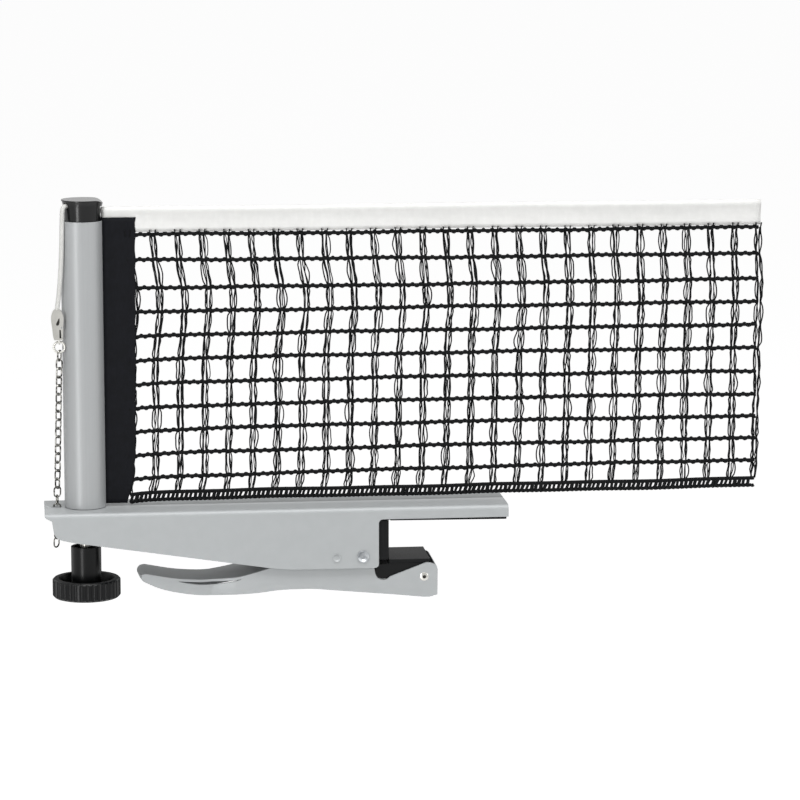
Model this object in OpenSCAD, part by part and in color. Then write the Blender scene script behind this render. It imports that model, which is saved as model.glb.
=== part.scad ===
// Table tennis net clamp: a clip-on post with its end of the net.
// Frame: +X runs along the net, over the table; +Y across it; +Z up.
// Origin: on the table's top surface, where the table's edge meets the stop pad.

/* [Arm] */
// Width of the arm's channel, across the net
arm_w = 37; // [34:0.5:42]
// Sheet thickness of the arm
arm_t = 1.5; // [1.2:0.1:2]
// How far the arm lies over the table
arm_over = 58.4; // [45:0.2:70]
// Height of the arm's top face above the table
arm_top = 6.65; // [6:0.05:8]
// Outer radius of the arm's two folds
arm_fold = 2.2; // [2:0.1:2.6]

/* [Clamp] */
// Thickness of the table board that the jaws hold at rest
board_t = 20; // [18:0.5:20]
// Thickness of the stop pad at the back of the mouth
stop_pad_t = 5; // [4:0.5:6]
// Sheet thickness of the lever
lever_t = 1.2; // [1:0.1:1.4]
// Gap between the lever's side plates and the arm's
lever_gap = 0.7; // [0.5:0.1:0.9]
// Width of the finger grip at the lever's end
grip_w = 24; // [22:1:28]
// Radius of the pivot rivet's shank
pivot_r = 2.5; // [2:0.1:3]
// Radius of the stop rivet's shank
stop_r = 1.8; // [1.5:0.1:2]
// Radius of the jaw pin
jaw_pin_r = 1.6; // [1.4:0.1:1.8]
// Wire diameter of the torsion spring
spring_wire = 1.8; // [1.4:0.1:2]

/* [Post] */
// Distance from the table's edge to the post's axis
post_out = 146; // [144:1:150]
// Outside diameter of the post
post_d = 20; // [20:0.5:21]
// Wall of the post
post_wall = 1.5; // [1.2:0.1:1.5]
// Height of the post's rim above the table
post_top = 145.8; // [143:0.2:148]
// Height of the cap's high side above the table
cap_top = 156; // [154:0.5:158]
// radius of the cap's shoulder on the net's side
cap_shoulder = 6.2; // [4:0.1:8]

/* [Height knob] */
// Diameter of the knob's rim
knob_d = 33; // [30:1:36]
// Height of the knob's rim
knob_rim_h = 9.2; // [8:0.2:11]
// Number of grooves round the rim
knob_grooves = 36; // [24:2:48]
// Diameter of the knob's stem
stem_d = 14.6; // [14:0.2:16]
// Thread diameter of the height screw
screw_d = 6; // [5:0.5:6]

/* [Net] */
// Height of the net above the table
net_h = 152.5; // [152:0.1:153]
// Pitch of the upright strings
string_pitch = 11.82; // [11:0.02:13]
// Number of upright strings in this end of the net
strings = 26; // [8:1:26]
// Pitch of the level strings
row_pitch = 11.95; // [11.5:0.05:12]
// Number of level strings
rows = 11; // [9:1:11]
// Diameter of a string
string_d = 2; // [1.5:0.1:2.2]
// Height of the hem
hem_h = 5.3; // [4:0.1:6]
// Diameter of the tension cord
cord_d = 2.3; // [2:0.1:2.4]

/* [Chain] */
// Wire diameter of the chain's links
link_wire = 0.8; // [0.7:0.05:0.9]
// Outside width of a link
link_w = 4.1; // [3.8:0.1:4.4]
// Number of links that hang below the arm
tail_links = 4; // [2:1:6]

/* [Hidden] */

$fn = 64;
eps = 0.01;
far = 60;                 // half length of a cutting block
running = 0.05;           // radial clearance of a running fit
clear = 0.3;              // gap between pieces that move past each other

// Arm
arm_in = arm_w / 2 - arm_t;
arm_under = arm_top - arm_t;
liner_half = arm_in - arm_fold + arm_t; // half the width between the arm's lips
mouth_x = -stop_pad_t;
arm_left = -165.8;
lip_z = 0.7;              // lower edge of the arm's lip over the table
heel_z = -23.2;           // lower edge of the arm below the pivot
pad_foot = -19.5;         // lower edge of the stop pad and the tab behind it

// Lever
lever_out = arm_in - lever_gap;
lever_in = lever_out - lever_t;
pivot = [-12.7, -17.4];
stop_at = [-25.5, -17.8];
jaw_pin_at = [17.4, -28.5];
relief_at = [-2.6, -25.8];
relief_r = 4;
slot_ends = [-16.6, -21]; // heights of the stop rivet in the lever's slot
jaw_end = 24;
heel_rest_z = -29.9;      // top of the jaw's back wall, under the pad's heel
web_end = -34;            // where the lever's top web ends, inside the arm
finger_cut = [-104, -70]; // ends of the slit under the web, where a finger lies
finger_cut_h = 1.5;       // height of the slit in its middle

// Post and knob
post_x = -post_out;
post_r = post_d / 2;
bore_r = post_r - post_wall;
post_foot = arm_top + clear;
exit_turn = atan2(-6.3, -9.3); // where the cord leaves the cap, seen from above
exit_z = cap_top - 2.65;  // height of the cord's way out
head_x = 0.8;             // how far the cap's head sits towards the net
lip_r = 10.25;
lip_t = 0.6;
flat_end = 6.2;           // where the cap's flat top ends and its shoulder begins
plug_h = 16;
bush_r = 5.6;
screw_r = screw_d / 2;
knob_top = -28.5;
knob_foot = knob_top - knob_rim_h;
stem_top = -12.9;
groove_r = 1.2;           // radius of a groove in the rim
groove_depth = 0.5;
cup_r = 5.9;
nut_z = -19.6;
nut_h = 3;

// Net
first_row = 138.8;
first_string = -112.1;
net_end = first_string + (strings - 1) * string_pitch + string_d / 2;
hem_foot = 8;
sleeve_left = post_x + post_r + 0.3;
sleeve_top = 147.2;
rod_r = 3;
rod_x = post_x + bore_r - 4.3;
rod_z = [26, 132];
cord_z = net_h - 2;
sleeve_edge = [[-119.9, sleeve_top], [-120.6, 66], [-121.5, 27], [-125.2, hem_foot]];

// Cord, clasp and chain
cord_y = -6.3;
cord_split = 146;         // where the cord leaves the cap's rim
clasp_at = [-158.1, cord_y, 88.3];
clasp_top = 103.8;
clasp_t = 3.4;
ring_r = 2.6;
ring_wire = 1.1;
notch_at = [-159.7, 0, arm_top - arm_t / 2];
notch_w = 1.6;
upper_links = 18;
link_gap = 0.05;
ring_gap = 0.1;

// ---- helpers ----

// A cubic curve through the points p, with n steps between two of them.
function spot(p, i) = p[max(0, min(len(p) - 1, i))];
function between(a, b, c, d, t) =
    b + (c - a) * t / 2 + (a - b * 2.5 + c * 2 - d / 2) * t * t
    + ((b - c) * 1.5 + (d - a) / 2) * t * t * t;
function smooth(p, n = 5) = concat(
    [for (i = [0 : len(p) - 2], k = [0 : n - 1])
        between(spot(p, i - 1), p[i], p[i + 1], spot(p, i + 2), k / n)],
    [p[len(p) - 1]]);

function unit(v) = v / norm(v);

// A round tube of radius r that follows the points of path.
module sweep(path, r, sides = 8) {
    n = len(path);
    way = [for (i = [0 : n - 1]) unit(spot(path, i + 1) - spot(path, i - 1))];
    // no path here runs along y, so that y serves as the reference
    rings = [for (i = [0 : n - 1])
        let (u = unit(cross(way[i], [0, 1, 0])), v = cross(way[i], u))
        for (k = [0 : sides - 1])
            path[i] + r * (cos(k * 360 / sides) * u + sin(k * 360 / sides) * v)];
    walls = [for (i = [0 : n - 2], k = [0 : sides - 1])
        let (m = (k + 1) % sides)
        [i * sides + m, i * sides + k, (i + 1) * sides + k, (i + 1) * sides + m]];
    caps = [[for (k = [0 : sides - 1]) k], [for (k = [sides - 1 : -1 : 0]) (n - 1) * sides + k]];
    polyhedron(rings, concat(walls, caps), convexity = 10);
}

// Stands a flat shape drawn as x and z upright, from y = -w/2 to w/2.
module across(w) {
    translate([0, w / 2, 0]) rotate([90, 0, 0]) linear_extrude(w) children();
}

// A rod across the arm, centred on y = 0, at the point p in x and z.
module rod_across(p, r, w) {
    translate([p[0], w / 2, p[1]]) rotate([90, 0, 0]) cylinder(r = r, h = w);
}

// A rivet through faces that are w apart, with a dished head h high at each end.
module rivet(p, shank, head, h, w) difference() {
    union() {
        rod_across(p, shank, w);
        for (side = [-1, 1]) translate([p[0], side * w / 2, p[1]]) rotate([-90 * side, 0, 0])
            cylinder(r = head, h = h);
    }
    for (side = [-1, 1]) translate([p[0], side * (w / 2 + h + eps), p[1]])
        rotate([90 * side, 0, 0]) cylinder(r1 = head - 0.35, r2 = head / 2, h = 2 * h);
}

// Domed heads of a pin, on faces that are w apart.
module domed_heads(p, r, h, w) {
    for (side = [-1, 1])
        translate([p[0], side * w / 2, p[1]]) rotate([-90 * side, 0, 0])
            rotate_extrude() intersection() {
                translate([0, h - r * r / h / 2 - h / 2]) circle(r = (r * r / h + h) / 2);
                square([r, h]);
            }
}

// ---- arm ----

arm_outline = concat(
    [[arm_left, arm_top], [arm_left, 5], [-162.4, 3], [-161.6, -2.4]],
    smooth([[-161.6, -2.4], [-159.3, -5.7], [-151.6, -7.7]]),
    [[-58.5, -22]],
    smooth([[-58.5, -22], [-49, heel_z + 0.2], [-40, heel_z]], 3),
    [for (a = [270 : 15 : 360]) [mouth_x - 2 + 2 * cos(a), heel_z + 2 + 2 * sin(a)]],
    [for (a = [180 : -15 : 90]) [mouth_x + 2 + 2 * cos(a), lip_z - 2 + 2 * sin(a)]],
    [[arm_over, lip_z], [arm_over, arm_top]]);

module arm_channel() color("#b7babb") {
    difference() {
        intersection() {
            translate([-far * 3, 0, 0]) rotate([90, 0, 90]) linear_extrude(far * 5)
                channel_section();
            across(arm_w + 2) polygon(arm_outline);
        }
        translate([post_x, 0, arm_under - 1]) cylinder(r = bush_r, h = arm_t + 2);
        rod_across(pivot, pivot_r, arm_w + 2);
        rod_across(stop_at, stop_r, arm_w + 2);
        chain_notch();
    }
    mouth_wall();
}

// The folded section, drawn as y and z.
module channel_section() {
    difference() {
        folded(arm_w / 2, arm_top, arm_fold);
        folded(arm_in, arm_under, arm_fold - arm_t);
    }
}

module folded(half, top, r) {
    translate([-half, -far]) square([2 * half, far + top - r]);
    translate([-half + r, 0]) square([2 * (half - r), top]);
    for (side = [-1, 1]) translate([side * (half - r), top - r]) circle(r = r);
}

// The open notch in the left end, where a link of the chain hooks in.
module chain_notch() {
    translate([0, 0, arm_under - 1]) linear_extrude(arm_t + 2)
        polygon([[arm_left - 1, -3.4], [arm_left - 1, 3.4], [-163.4, notch_w / 2],
            [-157.2, notch_w / 2], [-157.2, -notch_w / 2], [-163.4, -notch_w / 2]]);
}

// The tab that is folded down at the back of the mouth.
module mouth_wall() {
    translate([mouth_x - arm_t, -lever_in + 0.5, pad_foot])
        cube([arm_t, 2 * lever_in - 1, arm_under + eps - pad_foot]);
}

module top_liner() color("#1d1e20") {
    translate([0, -liner_half, 0]) cube([arm_over - 0.6, 2 * liner_half, arm_under]);
}

module stop_pad() color("#1d1e20") {
    translate([mouth_x, -arm_in + 0.1, pad_foot])
        cube([stop_pad_t, 2 * arm_in - 0.2, -pad_foot - running]);
    // its head fills the arm behind the liner
    translate([mouth_x, -liner_half, -1])
        cube([stop_pad_t - running, 2 * liner_half, arm_under + 1]);
}

module pivot_rivet() color("#d2d4d6") rivet(pivot, pivot_r, pivot_r + 0.5, 0.5, arm_w);

module pivot_spacer() color("#c4c6c8") difference() {
    rod_across(pivot, 3.9, 2 * lever_in - 0.4);
    rod_across(pivot, pivot_r + running, arm_w);
}

module stop_rivet() color("#c4c6c8") rivet(stop_at, stop_r, stop_r + 0.4, 0.3, arm_w);

// A coil round the spacer, one leg under the arm's top, one on the lever's web.
module torsion_spring() color("#8d9092") {
    coil_r = 5.1;
    coil_half = 4.4;      // half the coil's length
    steps = 14;           // points in a turn
    start = 206;          // where the arm's leg meets the coil
    end = 95 + 4 * 360;   // where the web's leg leaves it
    count = ceil((end - start) / 360 * steps);
    coil = [for (i = [0 : count])
        let (a = start + (end - start) * i / count)
        [pivot[0] + coil_r * cos(a), coil_half * (2 * i / count - 1), pivot[1] + coil_r * sin(a)]];
    arm_leg = [[-31, -coil_half, 4.1], [-29, -coil_half, 4.1]];
    web_leg = [[-34.5, coil_half, -12.9], [-38.5, coil_half, -14.4]];
    sweep(concat(arm_leg, coil, web_leg), spring_wire / 2);
}

// ---- lever and jaw ----

lever_belly = smooth([[-118.8, -28.8], [-111.7, -32.1], [-103.8, -34.3], [-94.5, -35.8],
    [-86.2, -36.2], [-74, -35.3], [-64, -34.8], [-53.3, -33.6], [-43.3, -33.3],
    [-33.6, -33.6], [-9.2, -35.8], [17.2, -38.6]], 4);
lever_back = smooth([[web_end, -13.8], [-45, -18.2], [-57.9, -22.6], [-66, -25],
    [-74, -26.9], [-86, -28.2], [-94, -28.3], [-104.5, -27.4], [-117.6, -25]], 4);

module lever() color("#b7babb") difference() {
    intersection() {
        across(arm_w) polygon(concat(
            [[-121.5, -25.7]], lever_belly,
            [[20.2, -38.6], [jaw_end - 0.1, -37.6]],
            smooth([[jaw_end, -25], [23.5, -23.3], [22.2, -22.4], [20.2, -21.7], [18.4, -21.6]], 2),
            [[-3.1, -29.6], [-6.6, -26.5], [-7.2, -23]],
            [for (a = [0 : 15 : 120]) pivot + [5.5 * cos(a), 8.5 * sin(a)]],
            lever_back));
        translate([0, 0, -far]) linear_extrude(2 * far) lever_plan(0);
    }
    intersection() {
        across(arm_w) inside_of_lever();
        translate([0, 0, -far]) linear_extrude(2 * far) lever_plan(lever_t);
    }
    rod_across(relief_at, relief_r, arm_w);
    rod_across(pivot, pivot_r + running, arm_w);
    rod_across(jaw_pin_at, jaw_pin_r, arm_w);
    stop_slot();
    across(arm_w) finger_slit();
}

// The narrow slit between the side plates' top edges and the web.
module finger_slit() {
    under = [for (p = lever_back) if (p[0] > finger_cut[0] && p[0] < finger_cut[1])
        p - [0, lever_t]];
    span = finger_cut[1] - finger_cut[0];
    polygon(concat(under, [for (i = [len(under) - 1 : -1 : 0])
        under[i] - [0, finger_cut_h * sin(180 * (finger_cut[1] - under[i][0]) / span)]]));
}

// The lever seen from above, its walls moved in by wall.
module lever_plan(wall) {
    half = lever_out - wall;
    grip = grip_w / 2 - wall;
    side = smooth([[-86, grip], [-80, (grip + half) / 2], [-74, half]], 4);
    nose = [for (a = [-60 : 12 : 60]) [-117.6 + wall - 4 * cos(a), -grip / sin(60) * sin(a)]];
    polygon(concat(nose, [for (i = [len(side) - 1 : -1 : 0]) [side[len(side) - 1 - i][0],
        -side[len(side) - 1 - i][1]]], [[far, -half], [far, half]],
        [for (i = [len(side) - 1 : -1 : 0]) side[i]]));
}

// What is cut away between the side plates: below the web and above the jaw's floor.
module inside_of_lever() {
    polygon(concat(
        [for (i = [len(lever_back) - 1 : -1 : 0]) lever_back[i] - [0, lever_t]],
        [[web_end, -far], [-120.3, -far], [-120.3, -28]]));
    polygon([[web_end - eps, far], [jaw_end - lever_t, far], [jaw_end - lever_t, -36.4],
        [20, -37.2], [17.2, -37.2], [0, -35.6], [0, heel_rest_z], [-lever_t, heel_rest_z],
        [-lever_t, -far], [web_end - eps, -far]]);
}

// The stop rivet's slot in the side plates.
module stop_slot() {
    r = stop_r + clear;
    for (z = slot_ends) rod_across([stop_at[0] + 0.2, z], r, arm_w);
    translate([stop_at[0] + 0.2 - r, -arm_w / 2, slot_ends[1]])
        cube([2 * r, arm_w, slot_ends[0] - slot_ends[1]]);
}

module jaw_pin() color("#d2d4d6") difference() {
    union() {
        rod_across(jaw_pin_at, jaw_pin_r, 2 * lever_out);
        domed_heads(jaw_pin_at, 2.2, 0.6, 2 * lever_out);
    }
    rod_across(jaw_pin_at, 0.8, arm_w + 4);
}

pad_w = 2 * lever_in - 0.8;
grip_t = 2;

module pad_carrier() color("#26282a") difference() {
    union() {
        across(pad_w) polygon([[relief_at[0] - 1.6, relief_at[1] + 3.3],
            [0.4, -board_t - grip_t], [20.6, -board_t - grip_t],
            [20.6, -29.5], [17.4, -31.8], [relief_at[0] + 1.4, -29.3]]);
        rod_across(relief_at, relief_r - 0.4, pad_w);
        rod_across(jaw_pin_at, 3.3, pad_w);
    }
    rod_across(jaw_pin_at, jaw_pin_r + running, pad_w + 2);
}

module pad_grip() color("#1d1e20")
    translate([0.4, -pad_w / 2, -board_t - grip_t]) cube([20.2, pad_w, grip_t]);

// ---- height adjustment ----

module screw_bush() color("#c9b27a") translate([post_x, 0, 0]) difference() {
    union() {
        translate([0, 0, arm_under - 1.5]) cylinder(r = 7.6, h = 1.5);
        translate([0, 0, arm_under - eps]) cylinder(r = bush_r, h = arm_t + eps);
    }
    translate([0, 0, arm_under - 2]) cylinder(r = screw_r + running, h = arm_t + 3);
}

module height_knob() color("#1b1c1e") translate([post_x, 0, 0]) difference() {
    rotate_extrude() difference() {
        polygon([[0, knob_foot], [knob_d / 2 - 1, knob_foot], [knob_d / 2, knob_foot + 1],
            [knob_d / 2, knob_top - 0.8], [knob_d / 2 - 0.8, knob_top],
            [knob_d / 2 - 3, knob_top], [knob_d / 2 - 4, knob_top - 4.2],
            [stem_d / 2, knob_top - 4.2], [stem_d / 2, stem_top], [0, stem_top]]);
        translate([0, nut_z]) square([cup_r, far]);
        translate([0, -36]) square([screw_r, far]);
    }
    for (i = [0 : knob_grooves - 1]) rotate(i * 360 / knob_grooves)
        translate([knob_d / 2 + groove_r - groove_depth, 0, knob_foot - 1])
            cylinder(r = groove_r, h = knob_rim_h + 2, $fn = 16);
}

module height_screw() color("#c4c6c8") translate([post_x, 0, 0]) {
    translate([0, 0, -36]) cylinder(r = screw_r, h = 36 + post_foot + plug_h);
    translate([0, 0, arm_under - 3.2]) cylinder(r = 5, h = 1.65);
}

module knob_nut() color("#c4c6c8") translate([post_x, 0, nut_z]) difference() {
    cylinder(r = cup_r - 0.1, h = nut_h, $fn = 6);
    translate([0, 0, -1]) cylinder(r = screw_r, h = nut_h + 2);
}

// The clip that keeps the screw from sinking through the bush.
module screw_clip() color("#8d9092") translate([post_x, 0, arm_top + 0.05]) difference() {
    cylinder(r = 5.2, h = 0.8);
    translate([0, 0, -1]) cylinder(r = screw_r, h = 3);
    translate([-1, 0, -1]) cube([2, 10, 3]);
}

// ---- post ----

module post_tube() color("#bfc1c3") translate([post_x, 0, 0]) difference() {
    translate([0, 0, post_foot]) cylinder(r = post_r, h = post_top - post_foot);
    translate([0, 0, post_foot - 1]) cylinder(r = bore_r, h = post_top);
    // the short slot behind the cord
    rotate(203) translate([bore_r - 1, -1.6, post_top - 4.2]) cube([4, 3.2, 6]);
    // the slot that the net's sleeve slides into
    translate([0, -1.5, rod_z[0] - 1]) cube([far, 3, post_top]);
}

module post_plug() color("#8d9092") translate([post_x, 0, post_foot]) difference() {
    cylinder(r = bore_r, h = plug_h);
    translate([0, 0, -1]) cylinder(r = screw_r + running, h = plug_h + 2);
    translate([0, 0, -1]) cylinder(r = 6, h = 1 + 7.6);
}

// The head sits a little towards the net, so that the cord has room on the other side.
module post_cap() color("#2f3133") translate([post_x, 0, 0]) difference() {
    union() {
        translate([0, 0, post_top - 11]) cylinder(r = bore_r - 0.1, h = 11);
        translate([0, 0, post_top - 1]) cylinder(r = bore_r - 1, h = 4);
        intersection() {
            translate([head_x, 0, 0]) union() {
                translate([0, 0, post_top]) cylinder(r1 = 8.95, r2 = 9.65, h = cap_top - post_top);
                translate([0, 0, cap_top - lip_t]) cylinder(r = lip_r, h = lip_t);
                translate([0, 0, cap_top - lip_t - 2.2]) cylinder(r1 = 9.4, r2 = lip_r - 0.3, h = 2.2);
            }
            // flat on top, with a round shoulder on the net's side
            union() {
                translate([-far, -far, post_top - 1]) cube([far + flat_end, 2 * far, cap_top - post_top + 1]);
                rod_across([flat_end, cap_top - cap_shoulder], cap_shoulder, far);
            }
        }
    }
    // the net's cord comes in from the net and leaves under the lip
    translate([0, 0, cord_z]) rotate([0, 90, 0]) cylinder(r = cord_d / 2 + 0.4, h = far);
    translate([0, 0, exit_z]) rotate([0, 90, exit_turn]) cylinder(r = cord_d / 2 + 0.4, h = far);
    translate([0, 0, cord_z - 2.2]) cylinder(r = 3.4, h = exit_z - cord_z + 3.8);
    // the mouth for the end of the tape
    translate([6, 0, 0]) rotate([90, 0, 90]) linear_extrude(far)
        polygon([[-3.5, cord_z - 2.9], [3.5, cord_z - 2.9], [4.6, cord_z + 2.5], [-4.6, cord_z + 2.5]]);
}

// ---- net ----

module net_rod() color("#333537")
    translate([rod_x, 0, rod_z[0]]) cylinder(r = rod_r, h = rod_z[1] - rod_z[0]);

module net_sleeve() color("#16171a") difference() {
    union() {
        across(3.2) polygon(concat([[sleeve_left, hem_foot + 0.2], [sleeve_left, sleeve_top]],
            [for (p = smooth(sleeve_edge, 4)) p]));
        translate([rod_x, -1.3, rod_z[0]])
            cube([sleeve_left - rod_x + 1, 2.6, rod_z[1] - rod_z[0]]);
        translate([rod_x, 0, rod_z[0]]) cylinder(r = rod_r + 1, h = rod_z[1] - rod_z[0]);
    }
    translate([rod_x, 0, rod_z[0] - 1]) cylinder(r = rod_r + running, h = 200);
}

// A folded tape with the cord in its top fold.
module top_tape() color("#f2f2f0") difference() {
    tape_left = post_x + 9.9;
    translate([tape_left, 0, 0]) rotate([90, 0, 90]) linear_extrude(net_end - tape_left)
        difference() {
            union() {
                translate([0, net_h - 2]) circle(r = 2);
                translate([-0.8, first_row + string_d / 2 + 0.1])
                    square([1.6, net_h - first_row - 3]);
            }
            translate([0, cord_z]) circle(r = cord_d / 2 + 0.1);
        }
    // above the sleeve only the top fold runs on
    translate([post_x, -5, 100]) cube([sleeve_edge[0][0] + 0.1 - post_x, 10, sleeve_top - 99.9]);
}

cap_exit = [cos(exit_turn), sin(exit_turn), 0];

cap_way = [[5, 0, cord_z], [3.4, 0, cord_z + 0.05], [0, 0, (cord_z + exit_z) / 2],
    exit_z * [0, 0, 1] + 3.4 * cap_exit, exit_z * [0, 0, 1] + 7.6 * cap_exit,
    (exit_z - 0.25) * [0, 0, 1] + 9.5 * cap_exit, (exit_z - 1.1) * [0, 0, 1] + 10.7 * cap_exit,
    (exit_z - 2.9) * [0, 0, 1] + 11.25 * cap_exit, cord_split * [0, 0, 1] + 11.25 * cap_exit];

module net_cord() color("#e9e9e6")
    sweep(concat([[net_end, 0, cord_z]],
        smooth(concat([[-128, 0, cord_z]], [for (p = cap_way) [post_x, 0, 0] + p]), 3)),
        cord_d / 2);

function edge_at(z) = lookup(z, [for (p = smooth(sleeve_edge, 4)) [p[1], p[0]]]);

// Strings as one flat lattice: an outline with a window in each mesh.
module net_mesh() color("#141518") {
    half = string_d / 2;
    top = first_row + half;
    foot = hem_foot + hem_h + 0.02;
    levels = [for (j = [0 : rows]) j < rows ? first_row - j * row_pitch : foot - half];
    edge = [for (p = smooth(sleeve_edge, 4)) if (p[1] < top && p[1] > foot) p];
    outline = concat([[net_end, foot], [net_end, top], [edge_at(top) + 0.05, top]],
        [for (p = edge) p + [0.05, 0]], [[edge_at(foot) + 0.05, foot]]);
    windows = [for (i = [0 : strings - 1], j = [0 : rows - 1])
        let (x1 = first_string + i * string_pitch - half,
             x0 = i == 0 ? edge_at(levels[j]) + 3 : x1 - string_pitch + string_d,
             z1 = levels[j] - half, z0 = levels[j + 1] + half)
        [[x0, z0], [x0, z1], [x1, z1], [x1, z0]]];
    points = concat(outline, [for (w = windows) each w]);
    n = len(outline);
    paths = concat([[for (k = [0 : n - 1]) k]],
        [for (i = [0 : len(windows) - 1]) [for (k = [0 : 3]) n + 4 * i + k]]);
    across(1.6) polygon(points, paths);
}

module bottom_hem() color("#141518")
    across(2.2) polygon([[edge_at(hem_foot) + 0.05, hem_foot], [edge_at(hem_foot + hem_h) + 0.05,
        hem_foot + hem_h], [net_end, hem_foot + hem_h], [net_end, hem_foot]]);

// ---- tension cord, clasp and chain ----

module tension_cord() color("#e9e9e6")
    sweep(smooth([[post_x + 11.25 * cap_exit[0], 11.25 * cap_exit[1], cord_split - 0.1],
        [-155.9, cord_y - 0.1, 127], [-157.1, cord_y, 112], [clasp_at[0], cord_y, clasp_top + 0.6],
        [clasp_at[0], cord_y, clasp_top - 2.5]], 4),
        cord_d / 2);

// The clasp's outline in x and z, measured from its foot.
module clasp_shape() {
    polygon(concat(
        smooth([[0.4, -0.85], [-1, -0.6], [-1.5, 0.6], [-2.2, 3], [-2.6, 7], [-3.1, 11.5],
            [-2.3, 14.6], [-1.6, 15.5]], 4),
        [[1.6, 15.5]],
        smooth([[1.9, 15], [2.9, 12], [2.7, 8], [2.6, 4], [2.5, 0.8], [1.9, -0.5], [1, -0.85]], 4)));
}

gate_pin_at = [2, 7];     // from the clasp's foot, in x and z
gate_t = 1.6;             // thickness of the gate
jaw_low = 1;              // height of the clasp's lower edge above the foot
jaw_high = 1.9;           // height of the gate's seat
loop_at = [0.7, 0, 0.3];  // middle of the loop that holds the ring
loop_r = 1.3;
loop_wire = 0.8;

// Puts a flat shape drawn from the clasp's foot in its place, t thick.
module on_clasp(t) {
    translate([clasp_at[0], cord_y, clasp_at[2]]) across(t) children();
}

module clasp_body() color("#b9bbbd") {
    difference() {
        on_clasp(clasp_t) intersection() {
            clasp_shape();
            translate([-far, jaw_low]) square(2 * far);
        }
        // the slit beside the gate
        on_clasp(clasp_t + 2) translate([0.85, jaw_high]) square([3, 4.1]);
        on_clasp(clasp_t + 2) translate(gate_pin_at) circle(r = 0.4);
        // the room between the cheeks that the gate swings in
        on_clasp(gate_t + 0.3) translate([0.1, jaw_high]) square([4, 6]);
        // the small drop-shaped recess in the front
        translate([0, -clasp_t / 2, 0]) on_clasp(clasp_t + 0.8)
            polygon(smooth([[0.95, 11.4], [0.8, 9.4], [0.3, 8.3], [-0.4, 8.2], [-0.5, 8.9],
                [0.2, 10.2], [0.7, 11.4]], 3));
        translate([clasp_at[0], cord_y, clasp_top - 2.6]) cylinder(r = cord_d / 2 + 0.05, h = 5);
    }
    translate(clasp_at + loop_at) rotate([0, 90, 0])
        rotate_extrude() translate([loop_r, 0]) circle(r = loop_wire / 2, $fn = 24);
}

// The sprung gate that closes the hook.
module clasp_gate() color("#b9bbbd") difference() {
    on_clasp(gate_t) polygon([[1.75, 1.95], [2.5, 1.95], [2.6, 4], [2.7, 7.3], [1.5, 7.5], [1.5, 6]]);
    on_clasp(clasp_t) translate(gate_pin_at) circle(r = 0.4 + running);
}

module gate_pin() color("#8d9092")
    on_clasp(clasp_t) translate(gate_pin_at) circle(r = 0.4);

// The ring's wire rests in the bottom of the clasp's loop.
ring_at = clasp_at + loop_at - [0, 0, loop_r - loop_wire / 2 - ring_wire / 2 - running + ring_r];

module clasp_ring() color("#c9cbcd")
    translate(ring_at) rotate([90, 0, 0]) rotate_extrude()
        translate([ring_r, 0]) circle(r = ring_wire / 2, $fn = 24);

// The chain runs straight from the bottom of the ring to the notch.
chain_start = ring_at - [0, 0, ring_r];
chain_way = unit(notch_at - chain_start);
link_pitch = (norm(notch_at - chain_start) + ring_wire / 2 + ring_gap) / (upper_links + 0.5);
link_l = link_pitch + 2 * link_wire + link_gap;
chain_tilt = atan2(chain_way[0], -chain_way[2]);
chain_lean = atan2(chain_way[1], -chain_way[2]);

// One link round its own middle, long in z, flat in x and z.
module link() {
    r = link_wire / 2;
    bend = link_w / 2 - r;
    run = link_l / 2 - link_w / 2;
    for (end = [0, 180]) rotate([0, end, 0]) translate([0, 0, run]) rotate([90, 0, 0])
        rotate_extrude(angle = 180) translate([bend, 0]) circle(r = r, $fn = 12 + 4);
    for (side = [-1, 1]) translate([side * bend, 0, -run]) cylinder(r = r, h = 2 * run, $fn = 16);
}

// The chain is flat in the notch, half turned beside the post and edge-on in the ring.
function link_turn(n) = n < 12 ? 45 * min(1, n / 6) : 45 + 45 * (n - 12) / (upper_links - 12);

module tension_chain() color("#c9cbcd")
    for (i = [-upper_links : tail_links])
        translate(notch_at + chain_way * i * link_pitch)
            rotate([chain_lean, -chain_tilt, 0])
                rotate(90 * (i % 2) + link_turn(abs(i))) link();

arm_channel();
top_liner();
stop_pad();
pivot_rivet();
pivot_spacer();
stop_rivet();
torsion_spring();
lever();
jaw_pin();
pad_carrier();
pad_grip();
screw_bush();
height_knob();
height_screw();
knob_nut();
screw_clip();
post_tube();
post_plug();
post_cap();
net_rod();
net_sleeve();
top_tape();
net_cord();
net_mesh();
bottom_hem();
tension_cord();
clasp_body();
clasp_gate();
gate_pin();
clasp_ring();
tension_chain();
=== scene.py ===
# %% [markdown]
# # A table tennis net clamp
# The clamp is a folded steel arm that lies on the table's edge, a sprung lever that grips the
# table from below, a post with a knob that sets the net's height, and the end of the net itself.
# The solids, their places and their joints come from the frame. This script gives every piece
# its finish, and it makes anew what a plain solid can't show: threads, cloth and soft folds.
# Lengths below are in millimetres, and MM turns them to metres when a mesh is finished.

# %% Load the frame
import math
import random

import bmesh
import bpy
from mathutils import Matrix, Vector


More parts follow.
